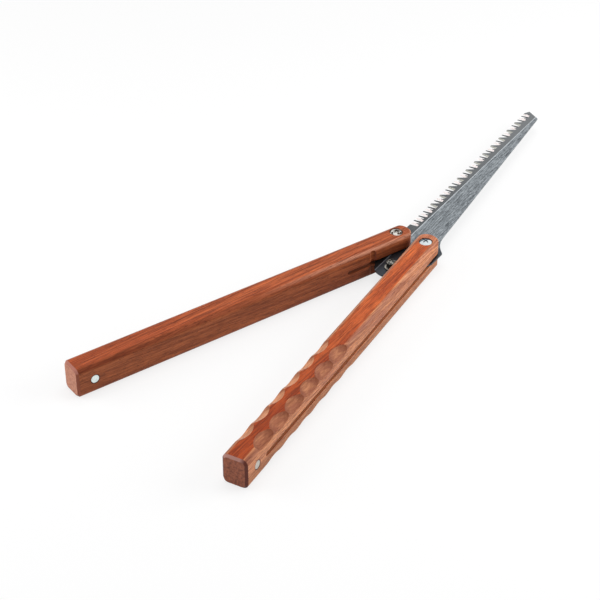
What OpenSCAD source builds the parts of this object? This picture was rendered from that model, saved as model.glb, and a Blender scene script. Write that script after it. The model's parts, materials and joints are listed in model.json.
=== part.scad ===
// Folding pull saw with two wooden handles that close around the blade.
// The saw lies flat: the tip points to +X, the tooth side faces +Y, and the handles rest on z = 0.
// Inside the modules, a handle is drawn from its pivot along +X with its inner face towards +Y.

/* [Handles] */
// Width of a handle, from its outer face to its inner face
handle_w = 21; // [19.5:0.1:22]
// Height of a handle, from the face that it rests on to its top face
handle_h = 26.6; // [24:0.1:32]
// Radius along the four long edges of a handle
edge_r = 5; // [3:0.5:6.5]
// Distance from a pivot to the outer face of its handle
pivot_to_outer = 9.9; // [9:0.1:10.6]
// Distance from a pivot to the rounded nose of its handle
pivot_to_nose = 12.8; // [11.8:0.1:13.4]
// Bevel around the rounded nose
nose_bevel = 1.2; // [0.4:0.2:2]
// Bevel around the far end
end_bevel = 1.8; // [0.8:0.2:3]
// Solid wood between the blade channel and the far end
end_block = 27.4; // [22:0.2:40]
// Gap between the inner faces of the handles beside the pivots
handle_gap = 6.3; // [5:0.1:6.8]

/* [Slot] */
// Height of the slot that takes the blade
slot_h = 3.6; // [3.2:0.1:4.4]
// Reach of the slot that runs right through the width of the handle
slot_reach = 59.8; // [56:0.2:75]
// Free length of the channel beyond the tip of the folded blade
tip_room = 16.8; // [4:0.2:24]
// Free depth of the channel beyond the teeth of the folded blade
tooth_room = 0.6; // [0.4:0.1:0.9]
// Free depth of the channel beyond the back of the folded blade
back_room = 2.6; // [1.5:0.1:4]

/* [Scoops] */
// Radius of the round cutter that made the finger scoops
scoop_r = 30; // [24:1:40]
// Distance between neighbouring scoops on one edge
scoop_pitch = 23; // [20:0.5:26]
// Number of scoops on one edge
scoop_count = 6; // [3:1:7]
// Distance from the pivot to the first scoop on the upper edges
scoop_start = 172.6; // [150:0.2:180]
// How much nearer to the pivot the scoops on the lower edges start
scoop_stagger = 10; // [0:0.5:12]
// Reach of the scoops across the wood from the outer face
scoop_outer = 9; // [6:0.1:9]
// Reach of the scoops across the wood from the inner face
scoop_inner = 7.3; // [6:0.1:8]
// Reach of the scoops down the side of the handle
scoop_drop = 5; // [4:0.1:6]

/* [Blade] */
// Thickness of the blade
blade_t = 1.5; // [1:0.1:1.8]
// Distance from the pivots to the plain heel in front of the first tooth
heel_x = 34; // [30:0.5:40]
// Distance from the centre line to the edge of the heel
heel_y = 19.2; // [18:0.1:20]
// Distance from the centre line to the first tooth point
first_point_y = 19.4; // [18:0.1:20]
// Distance from the centre line to the last tooth point
last_point_y = 22.3; // [20:0.1:22.6]
// Distance from the centre line to the corner at the tip
tip_y = 19.6; // [17:0.1:22]
// How far the tip slants back towards the spine
tip_slant = 8.4; // [2:0.2:16]
// Distance from the centre line to the spine at the tip
spine_tip_y = 7; // [2:0.2:9]
// Angle between the spine and the centre line
spine_angle = 5.35; // [4.6:0.05:5.6]

/* [Teeth] */
// Distance between neighbouring teeth
tooth_pitch = 4.3; // [4:0.01:4.6]
// Depth of the teeth next to the heel
tooth_depth = 6.1; // [4:0.1:7.6]
// Depth of the teeth next to the tip
tip_tooth_depth = 5.5; // [4:0.1:7]
// Number of even teeth next to the heel
heel_teeth = 8; // [4:1:10]
// Number of groups that hold one raker and two cutting teeth
groups = 11; // [8:1:12]
// Number of even teeth next to the tip
tip_teeth = 3; // [1:1:5]

/* [Tang] */
// Distance from the centre line to the straight sides of the tang
tang_y = 26; // [24.5:0.1:27]
// Reach of the straight sides in front of the pivots
tang_front = 8.6; // [4:0.2:9]
// Reach of the straight sides behind the pivots
tang_back = 9.8; // [4:0.2:12]
// Radius between the tang and the spine
spine_fillet = 38; // [30:1:45]
// Radius between the tang and the heel
heel_fillet = 20; // [12:1:24]
// Radius of the rounded tail
tail_r = 14; // [11:0.5:15]

/* [Pivots] */
// Diameter of the barrels that the handles turn on
barrel_d = 6.5; // [6:0.1:8]
// Diameter of the flange under each barrel
flange_d = 10.7; // [9:0.1:12]
// Thickness of the flange
flange_t = 1.6; // [1:0.1:2.4]
// How far the flange lies inside the lower face
flange_sink = 0.2; // [0.1:0.1:1]
// Diameter of the screw shanks
screw_d = 4; // [3:0.1:4.5]
// Length of the screw shanks
screw_len = 11; // [8:0.5:14]
// Diameter of the domed heads
head_d = 10.7; // [9:0.1:11]
// Height of the straight rim of the heads
head_rim = 0.9; // [0.4:0.1:1.2]
// Height of the dome on the rim
head_dome = 1.6; // [0.8:0.1:2.2]
// Depth of the seat that the head lies in
seat_depth = 1.5; // [1:0.1:2.5]
// Free width around the head and around the flange
seat_room = 0.45; // [0.2:0.05:0.8]
// Diameter of the washers on both sides of the tang
washer_d = 15; // [11:0.5:17]

/* [Stop pin] */
// Distance from the line of the pivots to the stop pin
stop_x = 33; // [31:0.5:35]
// Diameter of the sleeve and the post
stop_d = 8; // [7.4:0.1:8.6]
// Height of the sleeve and the post above the washers
stop_h = 4.9; // [4:0.1:7]
// Diameter of the domed ends
stop_head_d = 7.6; // [6:0.1:8]
// Height of the domed ends
stop_dome = 1.7; // [0.8:0.1:2.4]
// Diameter of the screw in the stop pin
stop_screw_d = 3; // [2.5:0.1:4]
// Diameter of the washers on the tang
stop_washer_d = 11; // [9:0.5:13]
// Thickness of these washers
stop_washer_t = 0.75; // [0.4:0.05:0.8]
// Free width between the pin and the notches in the handles
notch_room = 0.4; // [0.2:0.1:0.8]

/* [Cross recess] */
// Width of the arms of the cross in the screw heads
cross_w = 1.1; // [0.8:0.1:1.4]
// Depth of the cross below the top of the dome
cross_depth = 1.3; // [0.8:0.1:1.6]
// Length of the cross, as a share of the diameter of the head
cross_share = 0.52; // [0.4:0.02:0.6]

/* [Magnets] */
// Diameter of the magnets
magnet_d = 6.8; // [5:0.2:8]
// Thickness of the magnets
magnet_t = 3; // [2:0.5:4]
// Distance from the far end to the centre of the magnets
magnet_inset = 15.2; // [10:0.2:18]
// Free width around the magnets
magnet_room = 0.35; // [0.1:0.05:0.6]
// How far the magnets lie inside the wood
magnet_sink = 0.15; // [0:0.05:0.6]

/* [Pose] */
// Angle between the left handle and the centre line
left_angle = 21.86; // [1:0.01:60]
// Angle between the right handle and the centre line
right_angle = 3.59; // [1:0.01:60]
// Gap between the far ends when the handles are shut
shut_gap = 0.2; // [0.1:0.1:0.6]

/* [Fits] */
// Running clearance between the barrels and the blade or the washers
run_fit = 0.05; // [0.02:0.01:0.1]
// Clearance between pieces that are held firmly
firm_fit = 0.05; // [0.02:0.01:0.2]
// Clearance between the washers, the blade and the wood
face_fit = 0.025; // [0.01:0.005:0.05]

/* [Hidden] */
$fn = 64;

wood_left = [0.66, 0.37, 0.24];
wood_right = [0.73, 0.39, 0.26];
steel = [0.55, 0.57, 0.59];
bright_steel = [0.78, 0.80, 0.83];
dull_steel = [0.45, 0.46, 0.48];

// Places across the saw
mid_z = handle_h / 2;
pivot_to_inner = handle_w - pivot_to_outer;
pivot_y = pivot_to_inner + handle_gap / 2;
washer_t = (slot_h - blade_t) / 2 - 2 * face_fit;
far_side = 40;

// Places of the teeth along the blade, from the heel to the tip
heel_gap = 4;
tip_land = 2.683;
raker_step = 1.24 * tooth_pitch;
cutter_step = 1.65 * tooth_pitch;
group_pitch = 4 * tooth_pitch;
first_tooth = heel_x + heel_gap;
first_raker = first_tooth + (heel_teeth - 1) * tooth_pitch + raker_step;
last_cutter = first_raker + (groups - 1) * group_pitch + cutter_step + tooth_pitch;
last_tooth = last_cutter + tip_teeth * tooth_pitch;
tip_x = last_tooth + tip_land;

// Half widths of a tooth at its foot, towards the heel and towards the tip
even_foot = [0.44 * tooth_pitch, 0.36 * tooth_pitch];
raker_foot = [0.8 * tooth_pitch, 1.1 * tooth_pitch];

// Places along a handle
channel_end = tip_x + tip_room;
handle_len = channel_end + end_block;
nose_x = handle_w / 2 - pivot_to_nose;
center_y = handle_w / 2 - pivot_to_outer;
magnet_x = handle_len - magnet_inset;
shut_angle = asin((handle_gap - shut_gap) / (2 * (handle_len - end_bevel)));

// Deepest places of the folded blade inside each handle, measured from the pivot
left_floor = last_point_y - pivot_y + tooth_room;
spine_at_slot = spine_tip_y - (tip_x - tip_slant - slot_reach) * tan(spine_angle);
right_floor = -spine_at_slot - pivot_y + slot_reach * sin(shut_angle) + back_room + tooth_room;

// Middle of the saw on the table, with the handles as they are posed
low_x = -handle_len * cos(right_angle) - center_y * sin(right_angle);
low_y = -pivot_y - handle_len * sin(right_angle) - pivot_to_outer * cos(right_angle);
high_y = pivot_y + handle_len * sin(left_angle) + pivot_to_outer * cos(left_angle);
middle = [(low_x + tip_x) / 2, (low_y + high_y) / 2, 0];

// Place of the stop pin beside a shut handle
notch_x = stop_x * cos(shut_angle) + pivot_y * sin(shut_angle);
notch_y = pivot_y * cos(shut_angle) - stop_x * sin(shut_angle);

module saw_frame() {
    translate(-middle)
        children();
}

module at_left_handle() {
    saw_frame()
        translate([0, pivot_y, 0])
            rotate([0, 0, 180 - left_angle])
                children();
}

module at_right_handle() {
    saw_frame()
        translate([0, -pivot_y, 0])
            rotate([0, 0, 180 + right_angle])
                mirror([0, 1, 0])
                    children();
}

module at_stop() {
    saw_frame()
        translate([-stop_x, 0, mid_z])
            children();
}

// Rounded long edge of a handle, which narrows to a cone at the bevelled far end
module rounded_edge(y, z) {
    bevel_x = pivot_to_nose + handle_len - end_bevel;
    translate([-pivot_to_nose, y, z])
        rotate([0, 90, 0])
            rotate_extrude()
                polygon([
                    [0, 0],
                    [edge_r, 0],
                    [edge_r, bevel_x],
                    [edge_r - end_bevel, bevel_x + end_bevel],
                    [0, bevel_x + end_bevel]
                ]);
}

// Rounded nose around the pivot, with its bevelled rims
module handle_nose() {
    r = handle_w / 2;
    translate([nose_x, center_y, 0])
        rotate_extrude()
            polygon([
                [0, 0],
                [r - nose_bevel, 0],
                [r, nose_bevel],
                [r, handle_h - nose_bevel],
                [r - nose_bevel, handle_h],
                [0, handle_h]
            ]);
}

// Outline from the nose to the bevelled far end, for a width or a height
module end_outline(low, high) {
    polygon([
        [-pivot_to_nose, low],
        [handle_len - end_bevel, low],
        [handle_len, low + end_bevel],
        [handle_len, high - end_bevel],
        [handle_len - end_bevel, high],
        [-pivot_to_nose, high]
    ]);
}

// Bar with four rounded long edges and a bevelled far end
module handle_bar() {
    for (y = [edge_r - pivot_to_outer, pivot_to_inner - edge_r])
        for (z = [edge_r, handle_h - edge_r])
            rounded_edge(y, z);
    translate([0, 0, edge_r])
        linear_extrude(height = handle_h - 2 * edge_r)
            end_outline(-pivot_to_outer, pivot_to_inner);
    translate([0, pivot_to_inner - edge_r, 0])
        rotate([90, 0, 0])
            linear_extrude(height = handle_w - 2 * edge_r)
                end_outline(0, handle_h);
}

module handle_blank() {
    intersection() {
        handle_bar();
        union() {
            handle_nose();
            translate([nose_x, -far_side, -1])
                cube([handle_len + far_side, 2 * far_side, handle_h + 2]);
        }
    }
}

// One milled slot with a round end, open towards the outer face
module milled_slot(reach, floor_y) {
    r = slot_h / 2;
    translate([-far_side, -far_side, mid_z - r])
        cube([far_side + reach - r, far_side + floor_y, slot_h]);
    translate([reach - r, floor_y, mid_z])
        rotate([90, 0, 0])
            cylinder(r = r, h = far_side + floor_y);
}

// Bore for the barrel, with the seats of the screw head and of the flange
module pivot_holes() {
    translate([0, 0, -1])
        cylinder(d = barrel_d + 2 * firm_fit, h = handle_h + 2);
    translate([0, 0, handle_h - seat_depth])
        cylinder(d = head_d + 2 * seat_room, h = seat_depth + 1);
    translate([0, 0, -1])
        cylinder(d = flange_d + 2 * seat_room, h = 1 + flange_sink + flange_t);
}

module magnet_holes() {
    depth = magnet_t + magnet_sink;
    for (face = [[pivot_to_inner - depth, -90], [-pivot_to_outer + depth, 90]])
        translate([magnet_x, face[0], mid_z])
            rotate([face[1], 0, 0])
                cylinder(d = magnet_d + 2 * magnet_room, h = depth + 1);
}

module stop_notch() {
    translate([notch_x, notch_y, -1])
        cylinder(d = stop_d + 2 * notch_room, h = handle_h + 2);
}

module plain_handle(floor_y) {
    difference() {
        handle_blank();
        milled_slot(slot_reach, far_side);
        milled_slot(channel_end, floor_y);
        pivot_holes();
        magnet_holes();
        stop_notch();
    }
}

// Scoops along one edge, which lies on the X axis with the wood at +Y and -Z
module scoops(reach, start) {
    tilt = atan2(scoop_drop, reach);
    for (i = [0:scoop_count - 1])
        translate([start + i * scoop_pitch, reach, 0])
            rotate([tilt, 0, 0])
                translate([0, 0, scoop_r])
                    rotate([90, 0, 0])
                        cylinder(r = scoop_r, h = 4 * reach, center = true, $fn = 128);
}

module handle_scoops() {
    low_start = scoop_start - scoop_stagger;
    translate([0, -pivot_to_outer, handle_h])
        scoops(scoop_outer, scoop_start);
    translate([0, pivot_to_inner, handle_h])
        mirror([0, 1, 0])
            scoops(scoop_inner, scoop_start);
    translate([0, -pivot_to_outer, 0])
        mirror([0, 0, 1])
            scoops(scoop_outer, low_start);
    translate([0, pivot_to_inner, 0])
        mirror([0, 0, 1])
            mirror([0, 1, 0])
                scoops(scoop_inner, low_start);
}

module left_handle() {
    color(wood_left)
        at_left_handle()
            plain_handle(left_floor);
}

module right_handle() {
    color(wood_right)
        at_right_handle()
            difference() {
                plain_handle(right_floor);
                handle_scoops();
            }
}

// A tooth is [place, foot towards the heel, foot towards the tip]
function tooth(x, foot) = [x, foot[0], foot[1]];

function point_y(x) =
    first_point_y + (x - first_tooth) * (last_point_y - first_point_y) / (last_tooth - first_tooth);

function gullet_y(x) =
    point_y(x) - tooth_depth + (x - first_tooth) * (tooth_depth - tip_tooth_depth) / (last_tooth - first_tooth);

heel_row = [for (i = [0:heel_teeth - 1]) tooth(first_tooth + i * tooth_pitch, even_foot)];
group_row = [
    for (k = [0:groups - 1])
        let (x = first_raker + k * group_pitch)
            each [
                tooth(x, raker_foot),
                tooth(x + cutter_step, even_foot),
                tooth(x + cutter_step + tooth_pitch, even_foot)
            ]
];
tip_row = [for (i = [1:tip_teeth]) tooth(last_cutter + i * tooth_pitch, even_foot)];

// Each tooth has its foot, its point and its other foot, but the last one runs straight to the tip
teeth = concat(heel_row, group_row, tip_row);
toothed_edge = [
    for (t = teeth)
        let (low = gullet_y(t[0]), back_foot = [t[0] - t[1], low], point = [t[0], point_y(t[0])])
            each t[0] < last_tooth ? [back_foot, point, [t[0] + t[2], low]] : [back_foot, point]
];

function arc(center, r, from, to, steps = 16) = [
    for (i = [0:steps])
        let (a = from + (to - from) * i / steps)
            center + r * [cos(a), sin(a)]
];

// Curve from the side of the tang to the straight heel
heel_turn = acos(1 - (tang_y - heel_y) / heel_fillet);
heel_center = [tang_front + heel_fillet * sin(heel_turn), heel_y + heel_fillet];
heel_curve = arc(heel_center, heel_fillet, 270 - heel_turn, 270);

// Curve from the spine to the other side of the tang
spine_dir = [cos(spine_angle), sin(spine_angle)];
spine_up = [-sin(spine_angle), cos(spine_angle)];
spine_end = [tip_x - tip_slant, spine_tip_y];
corner = [tang_front, -tang_y] - spine_end;
corner_along = corner * spine_dir;
corner_below = -corner * spine_up;
spine_run = sqrt(corner_below * (2 * spine_fillet - corner_below));
spine_center = spine_end + (corner_along + spine_run) * spine_dir - spine_fillet * spine_up;
spine_turn = acos(1 - corner_below / spine_fillet);
spine_curve = arc(spine_center, spine_fillet, 90 + spine_angle, 90 + spine_angle + spine_turn);

// Where a straight line from the side of the tang touches the rounded tail
tail_dx = stop_x - tang_back;
tail_touch = atan2(tang_y, tail_dx) + acos(tail_r / norm([tail_dx, tang_y]));

tail_curve = arc([-stop_x, 0], tail_r, 360 - tail_touch, tail_touch, 24);
outline = concat(
    [[-tang_back, tang_y]],
    heel_curve,
    [[heel_x, heel_y]],
    toothed_edge,
    [[tip_x, tip_y], spine_end],
    spine_curve,
    [[-tang_back, -tang_y]],
    tail_curve
);

// The points run clockwise, so they are taken from the last to the first
module blade_outline() {
    last = len(outline) - 1;
    polygon([for (i = [0:last]) outline[last - i]]);
}

module blade() {
    color(steel)
        saw_frame()
            translate([0, 0, mid_z])
                difference() {
                    linear_extrude(height = blade_t, center = true)
                        blade_outline();
                    for (y = [-pivot_y, pivot_y])
                        translate([0, y, -blade_t])
                            cylinder(d = barrel_d + 2 * run_fit, h = 2 * blade_t);
                    translate([-stop_x, 0, -blade_t])
                        cylinder(d = stop_screw_d + 2 * firm_fit, h = 2 * blade_t);
                }
}

// Screw that points down, with its domed head on z = 0
module domed_head(d, rim, dome) {
    ball_r = (d * d / 4 + dome * dome) / (2 * dome);
    difference() {
        intersection() {
            cylinder(d = d, h = rim + dome);
            translate([0, 0, rim + dome - ball_r])
                sphere(r = ball_r, $fn = 96);
        }
        for (turn = [20, 110])
            rotate([0, 0, turn])
                translate([-d * cross_share / 2, -cross_w / 2, rim + dome - cross_depth])
                    cube([d * cross_share, cross_w, cross_depth + 1]);
    }
}

module cross_screw(head, rim, dome, shank, length) {
    domed_head(head, rim, dome);
    translate([0, 0, -length])
        cylinder(d = shank, h = length + rim / 2);
}

module pivot_screw() {
    translate([0, 0, handle_h - seat_depth])
        cross_screw(head_d, head_rim, head_dome, screw_d, screw_len);
}

// Hollow barrel that stands on its flange and takes the screw from above
module pivot_barrel() {
    top = handle_h - seat_depth - firm_fit;
    difference() {
        union() {
            translate([0, 0, flange_sink])
                cylinder(d = flange_d, h = flange_t);
            translate([0, 0, flange_sink])
                cylinder(d = barrel_d, h = top - flange_sink);
        }
        translate([0, 0, handle_h - seat_depth - screw_len - 1])
            cylinder(d = screw_d + 2 * firm_fit, h = screw_len + 2);
    }
}

module washer(outer, inner, thick) {
    difference() {
        cylinder(d = outer, h = thick);
        translate([0, 0, -1])
            cylinder(d = inner, h = thick + 2);
    }
}

module upper_washer() {
    translate([0, 0, mid_z + blade_t / 2 + face_fit])
        washer(washer_d, barrel_d + 2 * run_fit, washer_t);
}

module lower_washer() {
    translate([0, 0, mid_z - blade_t / 2 - face_fit - washer_t])
        washer(washer_d, barrel_d + 2 * run_fit, washer_t);
}

module inner_magnet() {
    translate([magnet_x, pivot_to_inner - magnet_sink, mid_z])
        rotate([90, 0, 0])
            cylinder(d = magnet_d, h = magnet_t);
}

module outer_magnet() {
    translate([magnet_x, -pivot_to_outer + magnet_sink, mid_z])
        rotate([-90, 0, 0])
            cylinder(d = magnet_d, h = magnet_t);
}

module left_pivot_barrel() {
    color(dull_steel)
        at_left_handle()
            pivot_barrel();
}

module right_pivot_barrel() {
    color(dull_steel)
        at_right_handle()
            pivot_barrel();
}

module left_pivot_screw() {
    color(bright_steel)
        at_left_handle()
            pivot_screw();
}

module right_pivot_screw() {
    color(bright_steel)
        at_right_handle()
            pivot_screw();
}

module left_upper_washer() {
    color(dull_steel)
        at_left_handle()
            upper_washer();
}

module left_lower_washer() {
    color(dull_steel)
        at_left_handle()
            lower_washer();
}

module right_upper_washer() {
    color(dull_steel)
        at_right_handle()
            upper_washer();
}

module right_lower_washer() {
    color(dull_steel)
        at_right_handle()
            lower_washer();
}

module left_inner_magnet() {
    color(bright_steel)
        at_left_handle()
            inner_magnet();
}

module left_outer_magnet() {
    color(bright_steel)
        at_left_handle()
            outer_magnet();
}

module right_inner_magnet() {
    color(bright_steel)
        at_right_handle()
            inner_magnet();
}

module right_outer_magnet() {
    color(bright_steel)
        at_right_handle()
            outer_magnet();
}

module stop_upper_washer() {
    color(bright_steel)
        at_stop()
            translate([0, 0, blade_t / 2])
                washer(stop_washer_d, stop_screw_d + 2 * firm_fit, stop_washer_t);
}

module stop_lower_washer() {
    color(bright_steel)
        at_stop()
            translate([0, 0, -blade_t / 2 - stop_washer_t])
                washer(stop_washer_d, stop_screw_d + 2 * firm_fit, stop_washer_t);
}

module stop_sleeve() {
    color(bright_steel)
        at_stop()
            translate([0, 0, blade_t / 2 + stop_washer_t])
                washer(stop_d, stop_screw_d + 2 * firm_fit, stop_h);
}

// Post below the tang, with a domed end and a blind hole for the screw
module stop_post() {
    drop = blade_t / 2 + stop_washer_t;
    color(bright_steel)
        at_stop()
            mirror([0, 0, 1])
                translate([0, 0, drop])
                    difference() {
                        union() {
                            cylinder(d = stop_d, h = stop_h);
                            translate([0, 0, stop_h])
                                domed_head(stop_head_d, 0, stop_dome);
                        }
                        translate([0, 0, -1])
                            cylinder(d = stop_screw_d + 2 * firm_fit, h = stop_h);
                    }
}

module stop_screw() {
    rise = blade_t / 2 + stop_washer_t + stop_h;
    reach = 2 * rise - 1 - firm_fit;
    color(bright_steel)
        at_stop()
            translate([0, 0, rise])
                cross_screw(stop_head_d, 0, stop_dome, stop_screw_d, reach);
}

blade();
left_handle();
right_handle();
left_pivot_barrel();
right_pivot_barrel();
left_pivot_screw();
right_pivot_screw();
left_upper_washer();
left_lower_washer();
right_upper_washer();
right_lower_washer();
left_inner_magnet();
left_outer_magnet();
right_inner_magnet();
right_outer_magnet();
stop_sleeve();
stop_post();
stop_screw();
stop_upper_washer();
stop_lower_washer();
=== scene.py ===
"""Looks of a folding pull saw: oiled wood, ground steel, bright screws, a pale floor and soft light."""
import json
import math

import bmesh
import bpy
from mathutils import Matrix, Vector


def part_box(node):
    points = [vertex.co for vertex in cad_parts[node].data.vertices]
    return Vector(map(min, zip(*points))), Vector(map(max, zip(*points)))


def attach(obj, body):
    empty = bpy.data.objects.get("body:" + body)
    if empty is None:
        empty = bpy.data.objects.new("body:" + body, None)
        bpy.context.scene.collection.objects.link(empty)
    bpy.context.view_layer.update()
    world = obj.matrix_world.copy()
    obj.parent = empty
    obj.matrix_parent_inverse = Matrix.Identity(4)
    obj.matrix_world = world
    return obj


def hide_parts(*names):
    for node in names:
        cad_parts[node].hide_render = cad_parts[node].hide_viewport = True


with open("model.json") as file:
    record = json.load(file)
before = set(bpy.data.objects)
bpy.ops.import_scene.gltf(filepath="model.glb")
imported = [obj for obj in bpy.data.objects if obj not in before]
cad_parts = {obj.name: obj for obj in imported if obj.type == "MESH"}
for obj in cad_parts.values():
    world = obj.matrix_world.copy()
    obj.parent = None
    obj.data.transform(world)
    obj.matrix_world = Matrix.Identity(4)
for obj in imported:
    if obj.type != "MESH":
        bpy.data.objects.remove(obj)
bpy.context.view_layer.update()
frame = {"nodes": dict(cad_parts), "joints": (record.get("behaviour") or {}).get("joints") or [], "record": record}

MM = 0.001
WHITE = (1.0, 1.0, 1.0, 1.0)

# Rest angles of the handles from the centre line of the blade, in degrees
LEFT_ANGLE = 21.86
RIGHT_ANGLE = 3.59

# Camera: direction and roll in degrees
CAMERA_AZIMUTH = -57.75
CAMERA_ELEVATION = 35.39
CAMERA_ROLL = 0.03

# Camera: distance and offsets from the point between the pivots, lens and sensor in millimetres
CAMERA_DISTANCE = 1402.89
CAMERA_LEFT = 93.75
CAMERA_DOWN = 31.98
CAMERA_LENS = 98.41
SENSOR = 36.0

# Nearest and farthest distance that the camera shows, in metres
CLIP_START = 0.05
CLIP_END = 20

# Outline of the blade in millimetres from the point between the pivots, with the teeth towards +Y
HEEL_X = 34.0
HEEL_Y = 19.2
HEEL_SLANT = 0.7
TIP_Y = 19.6
TIP_SLANT = 8.4
TIP_LAND = 2.683
TIP_MARGIN = 0.01
SPINE_TIP_Y = 7.0
SPINE_ANGLE = math.radians(5.35)
SPINE_FILLET = 38.0
HEEL_FILLET = 20.0
TANG_Y = 26.0
TANG_FRONT = 8.6
TANG_BACK = 9.8
TAIL_R = 14.0
STOP_X = 33.0
PIVOT_HOLE_R = 3.3
STOP_HOLE_R = 1.55

# Number of straight steps in each round stretch of the blade
SPINE_STEPS = 24
HEEL_STEPS = 16
TAIL_STEPS = 32
PIVOT_HOLE_STEPS = 48
STOP_HOLE_STEPS = 32

# Teeth: even ones at the heel and at the tip, and groups of a raker and two cutters between them
FIRST_POINT_Y = 19.4
LAST_POINT_Y = 22.3
TOOTH_PITCH = 4.3
TOOTH_DEPTH = 6.1
TIP_TOOTH_DEPTH = 5.5
HEEL_TEETH = 8
GROUPS = 11
GROUP_PITCHES = 4
TIP_TEETH = 3
HEEL_GAP = 4.0
RAKER_STEP = 1.24 * TOOTH_PITCH
CUTTER_STEP = 1.65 * TOOTH_PITCH

# How far the feet of a tooth lie from its point, towards the heel and towards the tip
EVEN_FOOT = (0.44 * TOOTH_PITCH, 0.36 * TOOTH_PITCH)
RAKER_FOOT = (0.8 * TOOTH_PITCH, 1.1 * TOOTH_PITCH)

# Places of the first and last tooth and of the tip, worked out from the steps between them
FIRST_TOOTH = HEEL_X + HEEL_GAP
FIRST_RAKER = FIRST_TOOTH + (HEEL_TEETH - 1) * TOOTH_PITCH + RAKER_STEP
LAST_CUTTER = FIRST_RAKER + (GROUPS - 1) * GROUP_PITCHES * TOOTH_PITCH + CUTTER_STEP + TOOTH_PITCH
LAST_TOOTH = LAST_CUTTER + TIP_TEETH * TOOTH_PITCH
TIP_X = LAST_TOOTH + TIP_LAND

# The strip along the teeth is ground thinner than the plate, with a narrow slope down to it
GRIND_Y = 9.2
GRIND_W = 0.9
GRIND_LEVELS = (GRIND_Y, GRIND_Y + GRIND_W)
STRIP_T = 1.2

# How near to a cut a corner counts as on it
CUT_REACH = 1e-4

# Filed bevels: how far they narrow a tooth on either face, and how far they reach below the gullet
BEVEL_W = 1.3
BACK_BEVEL_W = 0.6
RAKER_BEVEL_W = 3.1
RAKER_BACK_W = 1.1
BEVEL_DEEP = 1.1

# Blunt points: how far each kind is set up or down, and their thickness and half widths
TOOTH_SET = {"up": 0.25, "down": -0.25, "raker": 0}
POINT_T = 0.7
POINT_HALF = 0.9
RAKER_POINT_HALF = 0.8

# How far the points stand out from the line of the plain teeth, at the heel and at the tip
POINT_RAISE = 0.4
TIP_POINT_RAISE = 0.6

# How much nearer to the heel the last point lies
TIP_POINT_SHIFT = 2.6

# How far below its point a bevel takes the face of a cutter
POINT_DROP = 4.3

# What the bevels take off the ends of a point, in half widths
POINT_HEEL_CUT = 1.3
POINT_TIP_CUT = 0.4

# Materials of the blade: plate, slope and strip, then the faces and bevels of the teeth; the slope and the
# cutters' bevels are pale as painted highlights
BLADE_SLOTS = ("blade_steel", "slope_highlight_steel", "strip_steel", "tooth_face", "tooth_bevel_highlight", "raker_bevel")

# Materials of the faces and of the bevels of each kind of tooth
TOOTH_SLOTS = {
    "raker": ("strip_steel", "raker_bevel"),
    "up": ("tooth_face", "tooth_bevel_highlight"),
    "down": ("tooth_face", "tooth_bevel_highlight"),
    "last": ("strip_steel", "strip_steel"),
}


def joint_place(name):
    """Place of a joint in the frame, in metres."""
    joint = next(j for j in frame["joints"] if j["name"] == name)
    return Vector(joint["pos_m"])


LEFT_PIVOT = joint_place("left_handle_pivot")
RIGHT_PIVOT = joint_place("right_handle_pivot")
MIDDLE = (LEFT_PIVOT + RIGHT_PIVOT) / 2
PIVOT_Y = (LEFT_PIVOT - RIGHT_PIVOT).length / 2 / MM
BLADE_LOW, BLADE_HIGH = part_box("blade")
BLADE_Z = (BLADE_LOW.z + BLADE_HIGH.z) / 2
BLADE_T = (BLADE_HIGH.z - BLADE_LOW.z) / MM

# A span is a pair of values: a share is 0 at the first and 1 at the second, whichever is larger

# Slot of a handle in metres: spans of the distance from its middle height and along from the pivot
SLOT_HEIGHT = (0.0019, 0.00182)
SLOT_LENGTH = (0.2907, 0.2905)

# The same across the handle, from a middle that is shifted inward
SLOT_DEPTH = (0.0103, 0.0097)
SLOT_SHIFT = 0.0006

# Magnets in metres: their place along a handle and the span of the dark ring around them
MAGNET_X = 0.3014
MAGNET_RING = (0.0044, 0.0038)

# Spans along a handle in metres from its pivot
NOSE_SPAN = (0.006, -0.006)
TOP_FAR_START = 0.1
EDGE_SPAN = (0.01, 0.13)
EDGE_FAR_SPAN = (0.17, 0.29)
SHEEN_SPAN = (0.15, 0.06)
SCOOPS_RISE = (0.158, 0.16)
SCOOPS_FALL = (0.3, 0.298)

# Spans of the height in the frame and of the distance across a handle, in metres
FAR_SIDE_SPAN = (-0.001, -0.003)
LOW_SIDE_SPAN = (BLADE_Z - 0.001, BLADE_Z - 0.003)
RIM_SHADE_SPAN = (0.0035, 0.0075)

# Spans of the share of a surface's normal that points up
TOP_FULL = 0.995
EDGE_RISE = (0.2, 0.45)
EDGE_FALL = (0.97, 0.8)
# Where the painted sheen, a highlight along the upper edges, rises and falls
SHEEN_RISE = (0.5, 0.75)
SHEEN_FALL = (0.99, 0.93)
RIM_UP_SPAN = (0.2, 0.4)

# Spans of the share of a surface's normal that points along the handle, away from its pivot
END_SPAN = (0.8, 0.95)
RIM_SPAN = (0.5, 0.6)
NOSE_FACE_SPAN = (-0.3, -0.8)
SHADE_CRESCENT_SPAN = (0.1, 0.34)

# Patterns in the wood: features a metre along, across and through the grain, own shift, kind of noise
GRAIN = {
    "figure": ((11, 190, 190), 0, (3.0, 0.6, 0.5)),
    "layers": ((14, 120, 620), 2, (4.0, 0.62, 0.4)),
    "streaks": ((20, 820, 820), 3, (3.0, 0.6, 0.2)),
    "veins": ((13, 230, 230), 7, (3.0, 0.55, 0.5)),
    "fibres": ((110, 1500, 1500), 5, (3.0, 0.6)),
    "pores": ((240, 1500, 1500), 9, (2.0, 0.5)),
    "speckle": ((500, 500, 500), 11, (4.0, 0.7)),
}

# Turn of the grain about the length of the handle, in radians
GRAIN_ROLL = 0.25

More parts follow.
